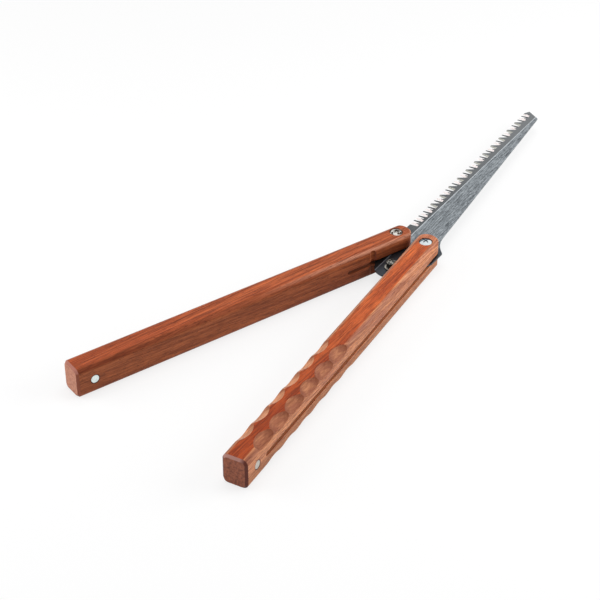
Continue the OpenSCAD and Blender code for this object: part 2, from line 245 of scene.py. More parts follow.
# Spans of those patterns
FIGURE_SPAN = (0.36, 0.64)
LAYER_SPAN = (0.4, 0.6)
STREAK_SPAN = (0.46, 0.62)
VEIN_MIDDLE = 0.5
VEIN_SPAN = (0.022, 0.0)
FIBRE_SPAN = (0.4, 0.64)
PORE_SPAN = (0.62, 0.7)
SPECKLE_SPAN = (0.36, 0.66)

# Rings of grain in the scoops: features a metre along the handle and with depth, and their span
RINGS_ALONG = 40
RINGS_DEEP = 1300
RING_SPAN = (0.44, 0.6)

# How strongly each mark shows
STREAK_SHARE = 0.62
FIBRE_SHARE = 0.3
PORE_SHARE = 0.6
SCOOP_SHARE = 0.36
FAR_SCOOP_SHARE = 0.85
RING_SHARE = 0.42
SHADE_CRESCENT_SHARE = 0.75
SCOOP_SMOOTH = 0.75

# Feel of the wood: how much its fibres roughen and raise it, and how strongly its marks are felt
FIBRE_ROUGH = 0.2
FIBRE_HEIGHT = 0.5
WOOD_FEEL = 0.7

# Height of those marks and radius of the rounded edges, in metres
WOOD_BUMP = 0.00018
WOOD_EDGE = 0.0005

# Marks in steel: features a metre of its lines and of its mottle, and how much the lines roughen it
LINES_ALONG = 60
MOTTLE_ALONG = 300
MOTTLE_ACROSS = 900
LINE_ROUGH = 0.18

# Steel: spans of its marks, of the far part of the strip and of the painted shade on the tang behind the pivots
# and at its corner
STEEL_SPAN = (0.41, 0.59)
STRIP_FAR_SPAN = (0.06, 0.26)
TANG_SHADE_SPAN = (MIDDLE.x, MIDDLE.x - 0.005)
TANG_SHADE_CORNER_X = (MIDDLE.x + 0.019, MIDDLE.x + 0.013)
TANG_SHADE_CORNER_Y = (MIDDLE.y - 0.013, MIDDLE.y - 0.018)

# Screw heads: span of their steep sides, and how soft the edges of a dark wedge and of dark spots are, all painted
# reflection and shade
STEEP_SPAN = (0.75, 0.6)
WEDGE_SOFT = 0.05
SPOT_SOFT = 0.03

# Wear of plated metal: its span, how bright it stays, and how much it roughens
WEAR_SPAN = (0.45, 0.75)
WORN_SHARE = 0.75
WEAR_ROUGH = 0.12

# Radius of the rounded edges of screws and of plated metal, in metres
SCREW_EDGE = 0.0003
PLATE_EDGE = 0.0002

# Floor: half its width and how far it lies below the saw, in metres, and its colour
FLOOR_HALF = 6.0
FLOOR_DROP = 0.00005
FLOOR_COLOUR = (0.92, 0.92, 0.92, 1.0)

# How much of the floor near the saw shows plain white, which leaves the rest for its shadow
FLOOR_GLOW = 0.76

# Distances in metres between which the floor goes from that to plain white
FLOOR_FADE = (0.45, 1.3)

# Lamps: metres to the camera's right, towards the camera and up from the target, size and watts
LAMPS = {
    "right_box": ((1.0, 0.0, 0.5), (0.8, 0.6), 9),
    "left_box": ((-1.1, 0.1, 0.5), (0.8, 0.6), 6),
    "top_box": ((0.0, -0.2, 1.4), (1.0, 1.0), 9),
}

# How far behind the pivots the lamps are aimed, in metres
TARGET_BACK = 0.05

# How bright the world is as it lights the saw, where 1 is how it is seen
SKY_LIGHT = 0.35


def make_camera():
    """The camera of the photograph; returns the directions back to it and to its right."""
    az, el = math.radians(CAMERA_AZIMUTH), math.radians(CAMERA_ELEVATION)
    back = Vector((math.sin(az) * math.cos(el), -math.cos(az) * math.cos(el), math.sin(el)))
    right = Vector((math.cos(az), math.sin(az), 0))
    up = back.cross(right)
    camera = bpy.data.objects.new("camera", bpy.data.cameras.new("camera"))
    bpy.context.scene.collection.objects.link(camera)
    axes = Matrix((right, up, back)).transposed()
    axes = axes @ Matrix.Rotation(math.radians(CAMERA_ROLL), 3, "Z")
    place = MIDDLE + MM * (CAMERA_DISTANCE * back - CAMERA_LEFT * right - CAMERA_DOWN * up)
    camera.matrix_world = Matrix.Translation(place) @ axes.to_4x4()
    camera.data.sensor_width = SENSOR
    camera.data.lens = CAMERA_LENS
    camera.data.clip_start = CLIP_START
    camera.data.clip_end = CLIP_END
    bpy.context.scene.camera = camera
    return back, right


class Nodes:
    """Adds nodes to a tree and joins their sockets."""

    def __init__(self, tree):
        self.tree = tree

    def add(self, kind, inputs=None, **settings):
        """A new node, whose inputs take values or the outputs of other nodes."""
        node = self.tree.nodes.new(kind)
        for key, value in settings.items():
            setattr(node, key, value)
        for key, value in (inputs or {}).items():
            self.put(node.inputs[key], value)
        return node

    def put(self, socket, value):
        """Joins a socket to an output, or gives it a value of its own."""
        if isinstance(value, bpy.types.NodeSocket):
            self.tree.links.new(value, socket)
        else:
            socket.default_value = value

    def math(self, operation, a, b=0.0):
        """A number worked out from one or two others."""
        return self.add("ShaderNodeMath", {0: a, 1: b}, operation=operation).outputs[0]

    def times(self, first, *others):
        """The product of two or more numbers."""
        for other in others:
            first = self.math("MULTIPLY", first, other)
        return first

    def opposite(self, share):
        """1 where the share is 0, and 0 where it is 1."""
        return self.math("SUBTRACT", 1.0, share)

    def distance(self, value, middle):
        """How far a value lies from the middle, to either side."""
        return self.math("ABSOLUTE", self.math("SUBTRACT", value, middle))

    def ramp(self, value, low, high, start=0.0, end=1.0):
        """The start up to low, the end from high on, and an even slope between them."""
        inputs = {"Value": value, "From Min": low, "From Max": high, "To Min": start, "To Max": end}
        return self.add("ShaderNodeMapRange", inputs, clamp=True).outputs[0]

    def band(self, value, rise, fall):
        """1 between one span in which the share rises from 0 and one in which it falls back to 0."""
        return self.times(self.ramp(value, *rise), self.ramp(value, *fall))

    def seen(self):
        """1 where the camera sees a surface, also in a reflection or through glass, and 0 otherwise."""
        path = self.add("ShaderNodeLightPath").outputs
        shiny = self.math("MAXIMUM", path["Is Glossy Ray"], path["Is Transmission Ray"])
        return self.math("MAXIMUM", path["Is Camera Ray"], shiny)


class Shader(Nodes):
    """A new material, whose shader takes colours and patterns from nodes."""

    def __init__(self, name):
        self.material = bpy.data.materials.new(name)
        self.material.use_nodes = True
        super().__init__(self.material.node_tree)
        self.surface = self.tree.nodes["Principled BSDF"]

    def set(self, **inputs):
        """Sets inputs of the shader, with an underscore for each space in their names."""
        for key, value in inputs.items():
            self.put(self.surface.inputs[key.replace("_", " ")], value)

    def coords(self):
        """Coordinates of the surface and its normal."""
        return self.add("ShaderNodeTexCoord").outputs

    def split(self, vector):
        """X, Y and Z of a vector."""
        return self.add("ShaderNodeSeparateXYZ", {0: vector}).outputs

    def dot(self, vector, direction):
        """How far a vector reaches in a direction."""
        node = self.add("ShaderNodeVectorMath", {0: vector, 1: direction}, operation="DOT_PRODUCT")
        return node.outputs["Value"]

    def mix(self, share, a, b):
        """Colour a where the share is 0, and b where it is 1."""
        return self.add("ShaderNodeMix", {"Factor": share, 6: a, 7: b}, data_type="RGBA").outputs[2]

    def noise(self, vector, detail, roughness, distortion=0.0, scale=1.0):
        """A random pattern from 0 to 1 that is the same each time."""
        inputs = {"Vector": vector, "Scale": scale, "Detail": detail}
        inputs.update({"Roughness": roughness, "Distortion": distortion})
        return self.add("ShaderNodeTexNoise", inputs).outputs["Fac"]

    def layered(self, vector, along, across, through, shift):
        """Coordinates with their own number of features a metre along X, along Y and along Z."""
        place = (shift, 2 * shift, 3 * shift)
        inputs = {"Vector": vector, "Location": place, "Scale": (along, across, through)}
        return self.add("ShaderNodeMapping", inputs).outputs[0]

    def rounded(self, radius):
        """Normals with the edges rounded by a radius."""
        return self.add("ShaderNodeBevel", {"Radius": radius}, samples=4).outputs[0]

    def bump(self, height, distance, strength, normal=None):
        """Normals over a pattern that stands out by a distance in metres."""
        inputs = {"Height": height, "Distance": distance, "Strength": strength}
        if normal is not None:
            inputs["Normal"] = normal
        return self.add("ShaderNodeBump", inputs).outputs[0]


def linear(value):
    """One part of a colour from 0 to 255, as a share of light."""
    value /= 255
    return value / 12.92 if value <= 0.04045 else ((value + 0.055) / 1.055) ** 2.4


def rgb(red, green, blue):
    """A colour written as it looks on a screen, from 0 to 255, made linear for the shader."""
    return (linear(red), linear(green), linear(blue), 1.0)


class Wood(Shader):
    """Oiled hardwood whose grain runs along a handle; look holds the colours of its faces."""

    def __init__(self, name, look, pivot, angle, slant, shift):
        super().__init__(name)
        self.look = look
        self.find_places(pivot, math.radians(angle), math.radians(slant))
        self.find_faces()
        self.marks = {mark: self.pattern(shift, *row) for mark, row in GRAIN.items()}
        self.pores = self.times(self.ramp(self.marks["pores"], *PORE_SPAN), self.plain)

    def find_places(self, pivot, turn, slant):
        """Coordinates along the handle and its grain, and how far the normal points up and along it."""
        coords = self.coords()
        inputs = {"Vector": coords["Object"], "Location": pivot, "Rotation": (0, 0, turn)}
        local = self.add("ShaderNodeMapping", inputs, vector_type="TEXTURE").outputs[0]
        tilt = (GRAIN_ROLL, math.radians(self.look["dip"]), slant)
        self.grain = self.add("ShaderNodeMapping", {"Vector": local, "Rotation": tilt}).outputs[0]
        self.place = self.split(local)
        self.facing = self.split(coords["Normal"])["Z"]
        self.lengthwise = self.dot(coords["Normal"], (math.cos(turn), math.sin(turn), 0))

    def find_faces(self):
        """Shares that are 1 on one kind of face and 0 on the others."""
        self.on_top = self.ramp(self.facing, self.look["flat"], TOP_FULL)
        self.on_end = self.ramp(self.lengthwise, *END_SPAN)
        self.on_rim = self.times(self.ramp(self.lengthwise, *RIM_SPAN), self.opposite(self.on_end))
        self.on_nose = self.ramp(self.lengthwise, *NOSE_FACE_SPAN)
        self.on_edge = self.band(self.facing, EDGE_RISE, EDGE_FALL)
        among_scoops = self.band(self.place["X"], SCOOPS_RISE, SCOOPS_FALL)
        self.in_scoop = self.times(self.on_edge, among_scoops, self.look["scooped"])
        self.plain = self.opposite(self.times(self.in_scoop, SCOOP_SMOOTH))

    def pattern(self, shift, features, own_shift, kind):
        """One row of the patterns in the wood, from 0 to 1."""
        return self.noise(self.layered(self.grain, *features, shift + own_shift), *kind)

    def slot_painted_light(self, inward):
        """1 on the surfaces inside the blade slot, which lie off the outer faces, where the slot colour is painted
        light and shade.
        """
        height = self.ramp(self.distance(self.place["Z"], BLADE_Z), *SLOT_HEIGHT)
        depth = self.ramp(self.distance(self.place["Y"], inward * SLOT_SHIFT), *SLOT_DEPTH)
        return self.times(height, depth, self.ramp(self.place["X"], *SLOT_LENGTH))

    def magnet_ring(self):
        """1 on the dark rim of the hole that each magnet sits in."""
        along = self.math("SUBTRACT", self.place["X"], MAGNET_X)
        level = self.math("SUBTRACT", self.place["Z"], BLADE_Z)
        square = self.math("ADD", self.times(along, along), self.times(level, level))
        return self.ramp(self.math("SQRT", square), *MAGNET_RING)

    def top_colour(self):
        """The upper face, which changes over the nose and towards the far end."""
        look = self.look
        top = self.mix(self.ramp(self.marks["figure"], *FIGURE_SPAN), look["top_deep"], look["top"])
        far = self.times(self.ramp(self.place["X"], TOP_FAR_START, look["far_end"]), look["far"])
        nose = self.times(self.ramp(self.place["X"], *NOSE_SPAN), look["nose_top"])
        return self.mix(nose, self.mix(far, top, look["top_far"]), look["nose"])

    def side_colour(self):
        """The sides, the nose and the rounded edges with their scoops."""
        look = self.look
        side = self.mix(self.ramp(self.marks["layers"], *LAYER_SPAN), look["side_deep"], look["side"])
        low = self.times(self.ramp(self.place["Z"], *LOW_SIDE_SPAN), look["lower"])
        side = self.mix(low, side, look["side_low"])
        edge = self.mix(self.ramp(self.place["X"], *EDGE_FAR_SPAN), look["edge"], look["edge_far"])
        share = self.times(self.on_edge, self.ramp(self.place["X"], *EDGE_SPAN), look["edge_share"])
        side = self.mix(share, side, edge)
        side = self.mix(self.on_nose, side, look["nose"])
        side = self.mix(self.times(self.in_scoop, SCOOP_SHARE), side, look["scoop"])
        far = self.times(self.ramp(self.place["Y"], *FAR_SIDE_SPAN), self.in_scoop, FAR_SCOOP_SHARE)
        return self.mix(far, side, look["far_scoop"])

    def with_painted_sheen(self, colour):
        """A painted highlight: the paler band of sheen along the upper edges near the pivot."""
        near = self.ramp(self.place["X"], *SHEEN_SPAN)
        share = self.times(self.band(self.facing, SHEEN_RISE, SHEEN_FALL), near, self.look["sheen_share"])
        return self.mix(share, colour, self.look["sheen"])

    def with_scoops(self, colour):
        """Rings of cut grain in the scoops, and a crescent of painted shade on the steep ends of each."""
        scoop = self.look["scoop"]
        across = self.math("ABSOLUTE", self.place["Y"])
        depth = self.math("ADD", across, self.distance(self.place["Z"], BLADE_Z))
        inputs = {0: self.times(self.place["X"], RINGS_ALONG), 1: self.times(depth, RINGS_DEEP)}
        place = self.add("ShaderNodeCombineXYZ", inputs).outputs[0]
        rings = self.ramp(self.noise(place, detail=2.0, roughness=0.5), *RING_SPAN)
        colour = self.mix(self.times(rings, RING_SHARE, self.in_scoop), colour, scoop)
        # Painted shade: the steep ends of each scoop are darkened
        steep = self.ramp(self.math("ABSOLUTE", self.lengthwise), *SHADE_CRESCENT_SPAN)
        return self.mix(self.times(steep, self.in_scoop, SHADE_CRESCENT_SHARE), colour, scoop)

    def with_grain(self, colour):
        """Dark streaks, veins, fibres and pores."""
        marks = self.marks
        off_top = self.times(self.opposite(self.on_top), 1 - self.look["side_streak"])
        streaks = self.times(self.ramp(marks["streaks"], *STREAK_SPAN), STREAK_SHARE)
        streaks = self.times(streaks, self.opposite(off_top), self.plain)
        vein = self.ramp(self.distance(marks["veins"], VEIN_MIDDLE), *VEIN_SPAN)
        veins = self.times(vein, self.look["vein"])
        fibres = self.times(self.ramp(marks["fibres"], *FIBRE_SPAN), FIBRE_SHARE, self.plain)
        for share in (streaks, veins, fibres, self.times(self.pores, PORE_SHARE)):
            colour = self.mix(share, colour, self.look["dark"])
        return colour

    def end_colour(self):
        """The speckled end grain of the far end."""
        speckle = self.ramp(self.marks["speckle"], *SPECKLE_SPAN)
        return self.mix(speckle, self.look["end"], self.look["end_deep"])

    def rim_painted_light(self):
        """The narrow rim around the far end: a painted highlight along its top and painted shade on its sides,
        darkest on one side.
        """
        look = self.look
        dark = self.times(self.ramp(self.place["Y"], *RIM_SHADE_SPAN), look["rim_shade"])
        top = self.mix(dark, look["rim_top"], look["rim_side"])
        return self.mix(self.ramp(self.facing, *RIM_UP_SPAN), look["rim_side"], top)

    def finish(self, colour):
        """The shader takes the colour, the sheen of oiled wood and the feel of its marks."""
        fibres = self.marks["fibres"]
        rough = self.math("ADD", self.times(fibres, FIBRE_ROUGH), self.look["rough"])
        height = self.math("SUBTRACT", self.times(fibres, FIBRE_HEIGHT), self.pores)
        normal = self.bump(height, WOOD_BUMP, WOOD_FEEL, self.rounded(WOOD_EDGE))
        self.set(Base_Color=colour, Roughness=rough, Normal=normal)
        self.set(Specular_IOR_Level=self.look["shine"])


def wood(name, look, pivot, angle, slant, shift, inward):
    """The wood of one handle, at an angle and with its grain at a slant to it, both in degrees."""
    s = Wood(name, look, pivot, angle, slant, shift)
    colour = s.mix(s.on_top, s.side_colour(), s.top_colour())
    colour = s.with_painted_sheen(colour)
    colour = s.with_scoops(colour)
    colour = s.with_grain(colour)
    # Painted light and shade inside the blade slot: darker on the left handle, set against the shadow on the right
    colour = s.mix(s.slot_painted_light(inward), colour, look["slot"])
    colour = s.mix(s.magnet_ring(), colour, look["dark"])
    # Painted highlight and shade on the rim around the far end
    colour = s.mix(s.on_rim, colour, s.rim_painted_light())
    colour = s.mix(s.on_end, colour, s.end_colour())
    s.finish(colour)
    return s.material


def painted_tang_shade(s, place):
    """1 on the tang behind the pivots and at its corner beside the right handle, where shade is painted into its
    colour.
    """
    parts = s.split(place)
    behind = s.ramp(parts["X"], *TANG_SHADE_SPAN)
    corner = s.times(s.ramp(parts["X"], *TANG_SHADE_CORNER_X), s.ramp(parts["Y"], *TANG_SHADE_CORNER_Y))
    return s.math("MAXIMUM", behind, corner)


def steel(name, colour, dark, rough, grain=2400, patches=0.5, metallic=1.0, shade=None, far=None):
    """Ground steel with lines along X; shade is painted shade on the tang behind the pivots, and far its colour
    towards the tip.
    """
    s = Shader(name)
    place = s.coords()["Object"]
    lines = s.noise(s.layered(place, LINES_ALONG, grain, grain, 1), detail=4.0, roughness=0.65)
    spots = s.layered(place, MOTTLE_ALONG, MOTTLE_ACROSS, MOTTLE_ACROSS, 4)
    mottle = s.noise(spots, detail=3.0, roughness=0.6, distortion=0.6)
    mark = s.math("ADD", s.times(lines, 1 - patches), s.times(mottle, patches))
    tone = s.mix(s.ramp(mark, *STEEL_SPAN), dark, colour)
    if far:
        tone = s.mix(s.ramp(s.split(place)["X"], *STRIP_FAR_SPAN), tone, far)
    # Painted shade: the tang between and beside the handles is darkened in its colour
    if shade:
        tone = s.mix(painted_tang_shade(s, place), tone, shade)
    s.set(Base_Color=tone, Metallic=metallic)
    s.set(Roughness=s.math("ADD", s.times(lines, LINE_ROUGH), rough))
    s.set(Normal=s.bump(lines, distance=0.00003, strength=0.5))
    return s.material


def screw_metal(name, light, dark, share, away=None):
    """Plated screw head whose colour is painted reflection: light, with patchy dark reflections or with one dark
    wedge on its side to away, and painted shade on its steep sides.
    """
    s = Shader(name)
    normal = s.coords()["Normal"]
    if away:
        patch = s.ramp(s.dot(normal, away), share - WEDGE_SOFT, share + WEDGE_SOFT)
    else:
        spots = s.noise(normal, detail=2.0, roughness=0.5, scale=4.2)
        patch = s.ramp(spots, share + SPOT_SOFT, share - SPOT_SOFT)
    # Painted shade on the steep sides of the head
    steep = s.ramp(s.split(normal)["Z"], *STEEP_SPAN)
    s.set(Base_Color=s.mix(s.math("MAXIMUM", patch, steep), light, dark), Metallic=0.35)
    s.set(Roughness=0.18, Normal=s.rounded(SCREW_EDGE))
    return s.material


def bright_metal(name, colour, rough):
    """Plated metal with faint wear."""
    s = Shader(name)
    wear = s.noise(s.coords()["Object"], detail=3.0, roughness=0.6, scale=900.0)
    worn = tuple(WORN_SHARE * c for c in colour[:3]) + (1.0,)
    s.set(Base_Color=s.mix(s.ramp(wear, *WEAR_SPAN), colour, worn), Metallic=1.0)
    s.set(Roughness=s.math("ADD", s.times(wear, WEAR_ROUGH), rough))
    s.set(Normal=s.bump(wear, distance=0.00002, strength=0.3, normal=s.rounded(PLATE_EDGE)))
    return s.material


# Colours of a handle's faces, with a deep one for the grain, and shares for how strongly they show; some are
# painted light and shade
# Flat is where the upper face begins, far_end where it has its far colour, and dip how its grain dips
LEFT_LOOK = {
    "top": rgb(203, 107, 64), "top_deep": rgb(166, 80, 46), "flat": 0.8,
    "top_far": rgb(170, 78, 45), "far": 0.6, "far_end": 0.3,
    "nose": rgb(206, 122, 84), "nose_top": 0.1,
    # sheen: a painted highlight along the upper edges near the pivot
    "sheen": rgb(230, 168, 140), "sheen_share": 0.48,
    "edge": rgb(163, 87, 58), "edge_far": rgb(112, 46, 26), "edge_share": 0.7,
    "side": rgb(166, 94, 58), "side_deep": rgb(136, 73, 45),
    "side_low": rgb(140, 74, 44), "lower": 0.0,
    "scoop": rgb(150, 70, 42), "far_scoop": rgb(150, 70, 42), "scooped": 0.0,
    # rim_top and rim_side: painted highlight along the top of the rim and painted shade on its sides
    "rim_top": rgb(170, 112, 98), "rim_side": rgb(140, 78, 58), "rim_shade": 0.0,
    # slot: painted shade inside the blade slot
    "end": rgb(198, 138, 112), "end_deep": rgb(162, 100, 77), "slot": rgb(132, 72, 46),
    "dark": rgb(72, 30, 18), "side_streak": 0.5, "vein": 0.4,
    "dip": 1.0, "rough": 0.36, "shine": 0.13,
}
RIGHT_LOOK = {
    "top": rgb(218, 110, 58), "top_deep": rgb(174, 76, 38), "flat": 0.965,
    "top_far": rgb(158, 63, 28), "far": 0.7, "far_end": 0.24,
    # nose: the pale nose around the pivot, partly a painted highlight
    "nose": rgb(245, 196, 160), "nose_top": 0.3,
    # sheen: a painted highlight along the upper edges near the pivot
    "sheen": rgb(236, 184, 166), "sheen_share": 0.15,
    # edge: pinkish partly as painted highlight along the rounded edges
    "edge": rgb(158, 114, 100), "edge_far": rgb(158, 108, 90), "edge_share": 0.6,
    "side": rgb(223, 151, 104), "side_deep": rgb(178, 108, 78),
    "side_low": rgb(168, 107, 66), "lower": 0.7,
    "scoop": rgb(120, 62, 40), "far_scoop": rgb(240, 168, 124), "scooped": 1.0,
    # rim_top and rim_side: painted highlight along the top of the rim and painted shade on its sides
    "rim_top": rgb(172, 126, 116), "rim_side": rgb(96, 48, 38), "rim_shade": 1.0,
    # slot: painted light inside the blade slot, against its shadow
    "end": rgb(165, 97, 71), "end_deep": rgb(104, 58, 44), "slot": rgb(184, 120, 84),
    "dark": rgb(90, 34, 18), "side_streak": 0.8, "vein": 0.25,
    "dip": 2.0, "rough": 0.34, "shine": 0.16,
}
MATERIALS = {
    "left_wood": wood(
        "left_wood", LEFT_LOOK, LEFT_PIVOT, 180 - LEFT_ANGLE, slant=-4.0, shift=3.3, inward=1),
    "right_wood": wood(
        "right_wood", RIGHT_LOOK, RIGHT_PIVOT, 180 + RIGHT_ANGLE, slant=5.0, shift=7.0, inward=-1),
    # Each shade colour below is painted shade on the tang behind the pivots
    "blade_steel": steel(
        "blade_steel", rgb(168, 175, 180), rgb(76, 82, 87), 0.3,
        grain=1700, patches=0.38, metallic=0.9, shade=rgb(68, 73, 80)),
    "strip_steel": steel(
        "strip_steel", rgb(109, 112, 114), rgb(76, 80, 83), 0.34,
        grain=1800, patches=0.2, shade=rgb(52, 55, 58), far=rgb(124, 127, 129)),
    # A painted highlight: the narrow slope between plate and strip, with painted shade on the tang
    "slope_highlight_steel": steel(
        "slope_highlight_steel", rgb(190, 196, 200), rgb(164, 170, 175), 0.3, metallic=0.0, shade=rgb(96, 100, 106)),
    "tooth_face": steel("tooth_face", rgb(94, 97, 99), rgb(78, 81, 83), 0.36),
    # Painted highlight: the near-white filed bevels of the cutters
    "tooth_bevel_highlight": steel("tooth_bevel_highlight", rgb(244, 236, 234), rgb(228, 218, 216), 0.4, metallic=0.0),
    "raker_bevel": steel("raker_bevel", rgb(184, 184, 176), rgb(154, 154, 146), 0.28, metallic=0.0),
    "barrel_steel": bright_metal("barrel_steel", rgb(112, 114, 117), 0.3),
    "washer_steel": bright_metal("washer_steel", rgb(88, 90, 93), 0.35),
    # The light and dark colours of the screw heads and the stop pin are painted reflections
    "bright_screw": screw_metal(
        "bright_screw", rgb(208, 218, 222), rgb(44, 74, 92), 0.1, away=(0.66, 0.75, 0)),
    "dark_reflection_screw": screw_metal("dark_reflection_screw", rgb(214, 211, 204), rgb(66, 46, 34), 0.5),
    "magnet_plate": bright_metal("magnet_plate", rgb(226, 237, 235), 0.24),
    "dull_plate": bright_metal("dull_plate", rgb(197, 191, 181), 0.24),
    "stop_steel": screw_metal("stop_steel", rgb(166, 164, 154), rgb(36, 36, 34), 0.5),
}

# Nodes with looks of their own: the left pivot screw with painted dark reflections, and a greyer magnet plate
OWN_LOOKS = {"left_pivot_screw": "dark_reflection_screw", "right_outer_magnet": "dull_plate"}


def dress_nodes():
    """Every CAD node takes the material of its slot, or a look of its own."""
    slots = {row["node"]: row["material_slot"] for row in frame["record"]["subparts"]}
    for name, node in frame["nodes"].items():
        node.data.materials.clear()
        node.data.materials.append(MATERIALS[OWN_LOOKS.get(name, slots[name])])


def arc(center, radius, start, end, steps):
    """Points on a part of a circle, with both of its ends."""
    angles = [start + (end - start) * i / steps for i in range(steps + 1)]
    return [Vector((center[0] + radius * math.cos(a), center[1] + radius * math.sin(a))) for a in angles]


def circle(center, radius, steps):
    """Points all around a circle."""
    return arc(center, radius, 0, 2 * math.pi, steps)[:-1]


def pairs(ring):
    """Each point of a closed line with the one after it."""
    return zip(ring, ring[1:] + ring[:1])


def tooth_share(x):
    """How far along the row of teeth a place lies, from 0 to 1."""
    return (x - FIRST_TOOTH) / (LAST_TOOTH - FIRST_TOOTH)


def point_y(x):
    """Y of the line on which the points of the plain teeth lie."""
    return FIRST_POINT_Y + (x - FIRST_TOOTH) * (LAST_POINT_Y - FIRST_POINT_Y) / (LAST_TOOTH - FIRST_TOOTH)


def gullet_y(x):
    """Y of the line on which the gullets lie."""
    return point_y(x) - TOOTH_DEPTH + tooth_share(x) * (TOOTH_DEPTH - TIP_TOOTH_DEPTH)


def surface_z(side, y):
    """Z of one face from the middle of the plate, which is less where the strip is ground."""
    share = min(max((y - GRIND_Y) / GRIND_W, 0), 1)
    return side * (BLADE_T + (STRIP_T - BLADE_T) * share) / 2


def all_teeth():
    """Each tooth as (x, feet, kind): up and down say which way it is set, raker that it isn't."""
    rows = []
    for i in range(HEEL_TEETH):
        rows.append((FIRST_TOOTH + i * TOOTH_PITCH, EVEN_FOOT, ("up", "down")[i % 2]))
    for k in range(GROUPS):
        x = FIRST_RAKER + k * GROUP_PITCHES * TOOTH_PITCH
        pair = ("down", "up") if k % 2 == 0 else ("up", "down")
        rows.append((x, RAKER_FOOT, "raker"))
        rows.append((x + CUTTER_STEP, EVEN_FOOT, pair[0]))
        rows.append((x + CUTTER_STEP + TOOTH_PITCH, EVEN_FOOT, pair[1]))
    for i in range(1, TIP_TEETH + 1):
        rows.append((LAST_CUTTER + i * TOOTH_PITCH, EVEN_FOOT, ("up", "down")[i % 2]))
    return rows


def spine_points():
    """From the end of the spine at the tip along its fillet to the corner of the tang."""
    along = Vector((math.cos(SPINE_ANGLE), math.sin(SPINE_ANGLE)))
    up = Vector((-math.sin(SPINE_ANGLE), math.cos(SPINE_ANGLE)))
    end = Vector((TIP_X - TIP_SLANT, SPINE_TIP_Y))
    corner = Vector((TANG_FRONT, -TANG_Y)) - end
    below = -corner.dot(up)
    run = math.sqrt(below * (2 * SPINE_FILLET - below))
    center = end + (corner.dot(along) + run) * along - SPINE_FILLET * up
    turn = math.acos(1 - below / SPINE_FILLET)
    start = math.pi / 2 + SPINE_ANGLE
    return [end] + arc(center, SPINE_FILLET, start, start + turn, SPINE_STEPS)


def heel_points():
    """The fillet between the tang and the heel."""
    turn = math.acos(1 - (TANG_Y - HEEL_Y) / HEEL_FILLET)
    center = (TANG_FRONT + HEEL_FILLET * math.sin(turn), HEEL_Y + HEEL_FILLET)
    return arc(center, HEEL_FILLET, 1.5 * math.pi - turn, 1.5 * math.pi, HEEL_STEPS)


def tail_points():
    """The round tail, up to where the straight sides of the tang touch it."""
    side = Vector((STOP_X - TANG_BACK, TANG_Y))
    touch = math.atan2(side.y, side.x) + math.acos(TAIL_R / side.length)
    return arc((-STOP_X, 0), TAIL_R, 2 * math.pi - touch, touch, TAIL_STEPS)


def blade_holes():
    """The holes of both pivots and of the stop pin."""
    pivots = [circle((0, s * PIVOT_Y), PIVOT_HOLE_R, PIVOT_HOLE_STEPS) for s in (1, -1)]
    return pivots + [circle((-STOP_X, 0), STOP_HOLE_R, STOP_HOLE_STEPS)]


def bevel_widths(kind, top):
    """How far the filed bevels narrow a tooth on one face, on its side to the heel and to the tip."""
    if kind == "raker":
        return (RAKER_BEVEL_W, 0) if top else (RAKER_BACK_W, RAKER_BACK_W)
    return (BEVEL_W, 0) if (kind == "up") == top else (0, BACK_BEVEL_W)


def foot_points(x, foot, kind, top):
    """Both feet of a tooth on one face; a bevel runs on into the plate below the gullet."""
    low = gullet_y(x)
    near, far = bevel_widths(kind, top)
    near_low = low - (BEVEL_DEEP if near > RAKER_BACK_W else 0)
    far_low = low - (BEVEL_DEEP if 0 < far < RAKER_BACK_W else 0)
    return Vector((x - foot[0] + near, near_low)), Vector((x + foot[1] - far, far_low))


def blade_outline(teeth, top):
    """Outline of one face with its teeth cut off, and the number of each tooth's first foot."""
    points = [Vector((-TANG_BACK, TANG_Y))] + heel_points() + [Vector((HEEL_X, HEEL_Y))]
    heel_low = gullet_y(FIRST_TOOTH) - (BEVEL_DEEP if top else 0)
    points.append(Vector((HEEL_X + HEEL_SLANT, heel_low)))
    feet = []
    for tooth in teeth[:-1]:
        feet.append(len(points))
        points.extend(foot_points(*tooth, top))
    x, foot, _ = teeth[-1]
    feet.append(len(points))
    points.append(Vector((x - foot[0] - TIP_POINT_SHIFT / 2, gullet_y(x))))
    points.append(Vector((TIP_X - TIP_MARGIN, TIP_Y)))
    points += spine_points() + [Vector((-TANG_BACK, -TANG_Y))] + tail_points()
    return points, feet


def with_crossings(points, levels):
    """The closed line with a point added wherever it crosses one of the levels of y."""
    out = []
    for a, b in pairs(points):
        out.append(a)
        cuts = [(level - a.y) / (b.y - a.y) for level in levels if (a.y - level) * (b.y - level) < 0]
        out.extend(a + t * (b - a) for t in sorted(cuts))
    return out


def blade_cap(bm, teeth, holes, side):
    """One face of the plate; returns its rings of corners and the places of the teeth's first feet."""
    points, feet = blade_outline(teeth, side > 0)
    outline = with_crossings(points, GRIND_LEVELS)
    first = [next(i for i, p in enumerate(outline) if p is points[f]) for f in feet]
    lines = [outline] + holes
    rings = [[bm.verts.new((p.x, p.y, surface_z(side, p.y))) for p in line] for line in lines]
    edges = [bm.edges.new(pair) for ring in rings for pair in pairs(ring)]
    bmesh.ops.triangle_fill(bm, edges=edges, use_beauty=True, use_dissolve=False)
    return rings, first


def add_walls(bm, top, bottom, first):
    """Walls between both faces, left out under the teeth; returns the walls that a bevel slopes."""
    filed = []
    for above, below in zip(top, bottom):
        open_at = first if above is top[0] else []
        count = len(above)
        for i in range(count):
            if i in open_at:
                continue
            j = (i + 1) % count
            wall = bm.faces.new((above[i], above[j], below[j], below[i]))
            if below[i].co.y + below[j].co.y - above[i].co.y - above[j].co.y > BEVEL_DEEP / 2:
                filed.append(wall)
    return filed


